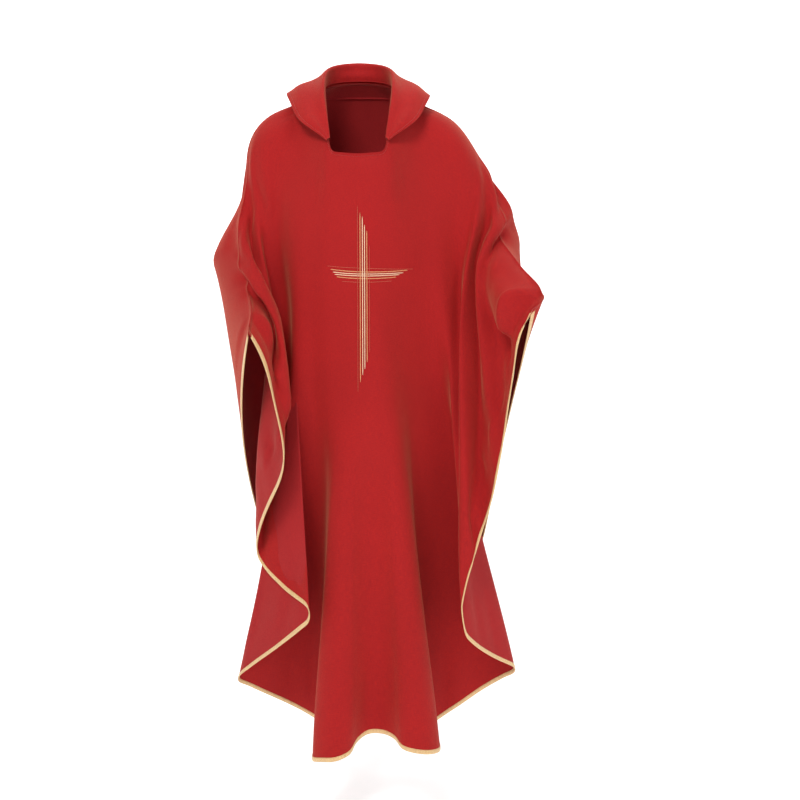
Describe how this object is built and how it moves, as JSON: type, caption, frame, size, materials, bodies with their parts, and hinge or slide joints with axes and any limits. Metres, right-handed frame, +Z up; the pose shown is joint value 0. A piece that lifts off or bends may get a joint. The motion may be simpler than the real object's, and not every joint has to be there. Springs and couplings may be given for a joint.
{
  "type": "chasuble",
  "caption": "Red chasuble with a roll collar, square neckline, gold satin edge binding and a line-work cross on the chest, draped as worn with the forearms forward.",
  "frame": {"origin": "centre of the base of the wearer's neck", "axes": "+Z up along the wearer's spine, the wearer faces -Y, +X is towards the wearer's left arm"},
  "size_m": [0.6314, 0.4967, 1.3754],
  "materials": {
    "body_cloth": "matte",
    "satin_binding": "satin",
    "lining_cloth": "matte",
    "interfacing": "matte",
    "gold_thread": "satin",
    "pale_thread": "satin"
  },
  "bodies": {
    "root": {"front_panel": "body_cloth", "back_panel": "body_cloth", "front_hem_binding": "satin_binding", "back_hem_binding": "satin_binding", "front_neck_facing": "lining_cloth", "back_neck_facing": "lining_cloth", "left_shoulder_seam_tape": "lining_cloth", "right_shoulder_seam_tape": "lining_cloth", "collar_upper": "body_cloth", "collar_under": "body_cloth", "collar_interfacing": "interfacing", "cross_upright_fine_left": "gold_thread", "cross_upright_gold_left": "gold_thread", "cross_upright_pale_left": "pale_thread", "cross_upright_pale_right": "pale_thread", "cross_upright_gold_right": "gold_thread", "cross_upright_fine_right": "gold_thread", "cross_beam_fine_top": "gold_thread", "cross_beam_gold_top": "gold_thread", "cross_beam_pale_upper": "pale_thread", "cross_beam_pale_lower": "pale_thread", "cross_beam_gold_bottom": "gold_thread", "cross_beam_fine_bottom": "gold_thread"}
  },
  "joints": []
}
